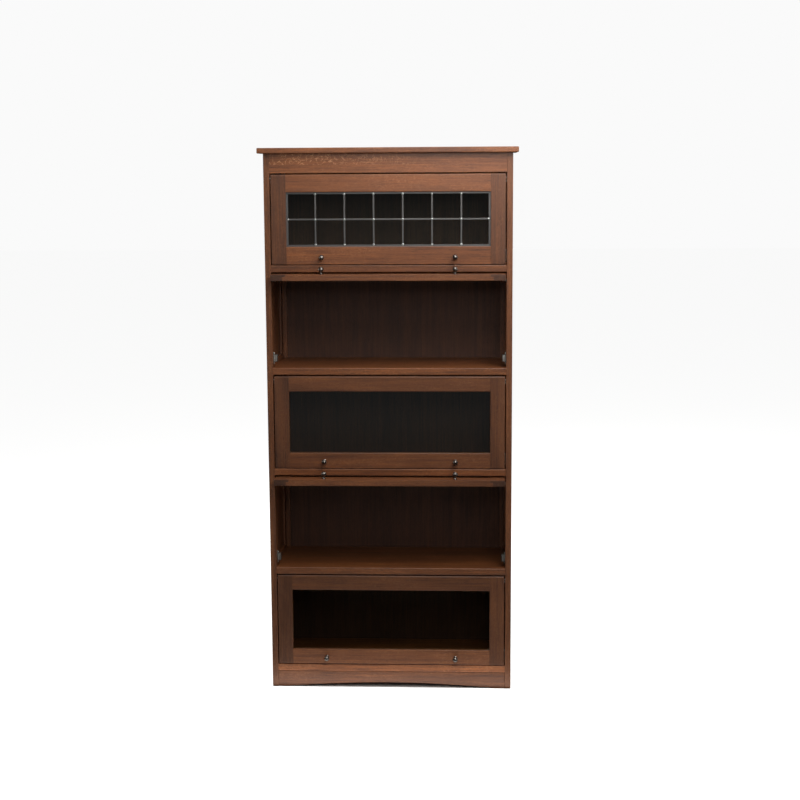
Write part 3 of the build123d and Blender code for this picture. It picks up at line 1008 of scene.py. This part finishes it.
def make_door(tier):
    door = door_shape(tier)
    name = door["name"]
    sight_half = door["glass_half"] - rabbet_width + glass_play
    sight_low = door["glass_z"][0] + rabbet_width - glass_play
    sight_high = door["glass_z"][1] - rabbet_width + glass_play
    stiles = [make_stile(door, side, sight_half, (sight_low, sight_high)) for side in (-1, 1)]
    door_piece(door, joined(f"{name}_stiles_wood", stiles), "stained_oak", oak, f"{name}_stiles")
    rails = [
        make_door_rail(door, door["bottom"], sight_low, sight_half),
        make_door_rail(door, door["top"], sight_high, sight_half),
    ]
    door_piece(door, joined(f"{name}_rails_wood", rails), "stained_oak", oak, f"{name}_rails")

    lip_rear = door["front"] + front_lip
    if tier == 1:
        glass = make_leaded_light(door, sight_half, sight_low, sight_high)
    else:
        glass = block(
            f"{name}_pane",
            (-door["glass_half"], lip_rear, door["glass_z"][0]),
            (door["glass_half"], lip_rear + glass_thickness, door["glass_z"][1]),
        )
        ease(glass, 0.3 * MM, steps=1)
    door_piece(door, glass, "clear_glass", pane, f"{name}_glass")
    stops = make_stops(door, came_thickness if tier == 1 else glass_thickness)
    stops.name = f"{name}_stops_wood"
    door_piece(door, stops, "stained_oak", oak, f"{name}_stops")

    knobs = []
    for side in (-1, 1):
        seat = Matrix.Translation((side * door["knob_x"], door["front"], door["knob_z"]))
        knobs.append(copied(knob_blank, "knob", seat @ turn_to((0, -1, 0))))
    door_piece(door, joined(f"{name}_knobs_bronze", knobs), "bronze_knob", bronze, f"{name}_knobs")

    pins = []
    for side in (-1, 1):
        radius, length = door["pin_radius"], door["pin_end"] - door["half"] + pin_buried
        profile = [
            (hub, 0), (radius, 0), (radius, length - pin_bevel), (radius - pin_bevel, length), (hub, length),
        ]
        pin = turned("pivot_pin", profile, sides=24)
        inner_end = Matrix.Translation((side * (door["half"] - pin_buried), 0, 0))
        pin.data.transform(inner_end @ turn_to((side, 0, 0)))
        pins.append(pin)
    door_piece(door, joined(f"{name}_pins_steel", pins), "steel", steel, f"{name}_pivot_pins")

    plates = []
    for side in (-1, 1):
        outer = door["strike_x"]
        x_ends = sorted((side * outer, side * (outer - strike_width)))
        z_low, z_high = door["strike_z"]
        plate_back = door["rear"] + strike_thickness
        plate = block("strike", (x_ends[0], door["rear"], z_low), (x_ends[1], plate_back, z_high))
        ease(plate, 2 * MM, lambda e: runs_along(e, Y), steps=4)
        ease(plate, 0.25 * MM, steps=1)
        plates.append(plate)
    door_piece(door, joined(f"{name}_strike_plates", plates), "steel", steel, f"{name}_strikes")


for tier in TIERS:
    make_door(tier)

discard(knob_blank)
discard(pan_head)

# ---------------------------------------------------------------- floor, light and camera
bpy.ops.object.select_all(action="DESELECT")
bpy.ops.mesh.primitive_plane_add(size=60, location=(0, 0, cad_low.z))
floor = bpy.context.object
floor.name = "studio_floor"
# A matt white floor. The camera sees it glow a little, except under the bookcase where the light is cut
# off: the glow is left out there, so that patch is painted shade on top of its real shadow. Mirrors see
# a painted reflection instead of the lit floor, dim near by, so that the panes stay dark, and glowing
# faintly further off.
paper, paper_tree = new_material("pale_studio_floor")
seen = node(paper_tree, "ShaderNodeLightPath")
sheet_colour = {"Base Color": linear("#efeeea"), "Roughness": 0.9, "Specular IOR Level": 0.0}
matt = node(paper_tree, "ShaderNodeBsdfPrincipled", inputs=sheet_colour).outputs[0]
floor_place = node(paper_tree, "ShaderNodeTexCoord").outputs["Object"]
floor_axes = node(paper_tree, "ShaderNodeSeparateXYZ", inputs={0: floor_place}).outputs
toward_viewer = floor_axes["Y"]
sideways = calculate(paper_tree, "ABSOLUTE", floor_axes["X"])
# Painted shade: the glow is left out within the bookcase's footprint.
beside = calculate(paper_tree, "GREATER_THAN", sideways, half_width)
ahead = calculate(paper_tree, "LESS_THAN", toward_viewer, front_y)
behind = calculate(paper_tree, "GREATER_THAN", toward_viewer, cad_high.y)
open_floor = calculate(paper_tree, "ADD", calculate(paper_tree, "ADD", beside, ahead), behind, clamp=True)
lift_strength = calculate(paper_tree, "MULTIPLY", open_floor, 0.87)
lift = node(paper_tree, "ShaderNodeEmission", inputs={"Color": linear("#ffffff"), "Strength": lift_strength})
lifted = node(paper_tree, "ShaderNodeAddShader", inputs={0: matt, 1: lift.outputs[0]}).outputs[0]
# Painted reflection: mirrors see this dim glow, growing further off, instead of the lit floor.
glow_settings = {0: toward_viewer, 1: -2.0, 2: -6.0, 3: 0.0, 4: 0.16}
far_glow = node(paper_tree, "ShaderNodeMapRange", inputs=glow_settings).outputs[0]
dim_settings = {"Color": linear("#f2f0f4"), "Strength": far_glow}
dim = node(paper_tree, "ShaderNodeEmission", inputs=dim_settings).outputs[0]
painted_reflection = node(paper_tree, "ShaderNodeMixShader", inputs={0: seen.outputs["Is Glossy Ray"], 1: matt, 2: dim})
by_camera = node(
    paper_tree, "ShaderNodeMixShader",
    inputs={0: seen.outputs["Is Camera Ray"], 1: painted_reflection.outputs[0], 2: lifted},
)
finish_material(paper_tree, by_camera.outputs[0])
floor.data.materials.append(paper)


def soft_light(name, place, target, size, power, colour="#ffffff"):
    lamp = bpy.data.lights.new(name, "AREA")
    lamp.shape = "RECTANGLE"
    lamp.size, lamp.size_y = size
    lamp.energy = power
    lamp.color = linear(colour)[:3]
    holder = bpy.data.objects.new(name, lamp)
    aim = (Vector(target) - Vector(place)).to_track_quat("-Z", "Y").to_matrix().to_4x4()
    holder.matrix_world = Matrix.Translation(place) @ aim
    holder.visible_camera = False
    bpy.context.scene.collection.objects.link(holder)


soft_light("key", (0.45, -4.3, 2.2), (0, 0, 1.1), (0.3, 0.3), 5)
soft_light("softbox_low", (0.5, -3.2, 2.35), (0, 0, 1.0), (1.6, 0.8), 12)
soft_light("softbox_high", (0.75, -2.3, 3.5), (0, 0, 0.8), (2.0, 1.8), 33)
soft_light("top_right", (1.0, -1.0, 2.7), (0.2, -0.1, 1.8), (0.6, 0.5), 19)
soft_light("near_middle", (0.2, -1.3, 2.25), (0.1, -0.1, 1.8), (0.5, 0.3), 3)
soft_light("edge_strip", (0.1, -0.75, 3.4), (0, -0.15, 0.9), (1.8, 0.3), 15)
soft_light("floor_bounce", (0, -0.2, 0.004), (0, -0.2, 1.0), (0.9, 0.12), 0.6)
soft_light("rear_left", (-1.8, 3.0, 2.2), (0, 0.2, 1.0), (1.4, 1.4), 40)
soft_light("side_left", (-3.0, 0.3, 1.8), (0, 0, 1.0), (1.2, 1.4), 30)
soft_light("side_right", (3.0, 0.3, 1.8), (0, 0, 1.0), (1.2, 1.4), 30)

world = bpy.data.worlds.new("studio")
bpy.context.scene.world = world
world.use_nodes = True
sky = world.node_tree
sky.nodes.clear()
by_eye = node(sky, "ShaderNodeLightPath").outputs["Is Camera Ray"]
backdrop = node(sky, "ShaderNodeBackground", inputs={"Color": linear("#fafafa"), "Strength": 1.0}).outputs[0]
ambient = node(sky, "ShaderNodeBackground", inputs={"Color": linear("#eef0f2"), "Strength": 0.1}).outputs[0]
both = node(sky, "ShaderNodeMixShader", inputs={0: by_eye, 1: ambient, 2: backdrop}).outputs[0]
node(sky, "ShaderNodeOutputWorld", inputs={"Surface": both})
bpy.context.scene.view_settings.view_transform = "Standard"

camera_spot = Vector((0.302, front_y - 5.288, 1.864))
camera_turn_left, camera_tilt_down, camera_roll = 0.0499, 0.1514, -0.006
focal_length_px, picture_px, sensor_mm = 1518.6, 800, 36
camera = bpy.data.cameras.new("camera")
camera.sensor_width = sensor_mm
camera.lens = focal_length_px / picture_px * sensor_mm
holder = bpy.data.objects.new("camera", camera)
bpy.context.scene.collection.objects.link(holder)
holder.matrix_world = (
    Matrix.Translation(camera_spot)
    @ Matrix.Rotation(camera_turn_left, 4, "Z")
    @ Matrix.Rotation(math.pi / 2 - camera_tilt_down, 4, "X")
    @ Matrix.Rotation(camera_roll, 4, "Z")
)
bpy.context.scene.camera = holder
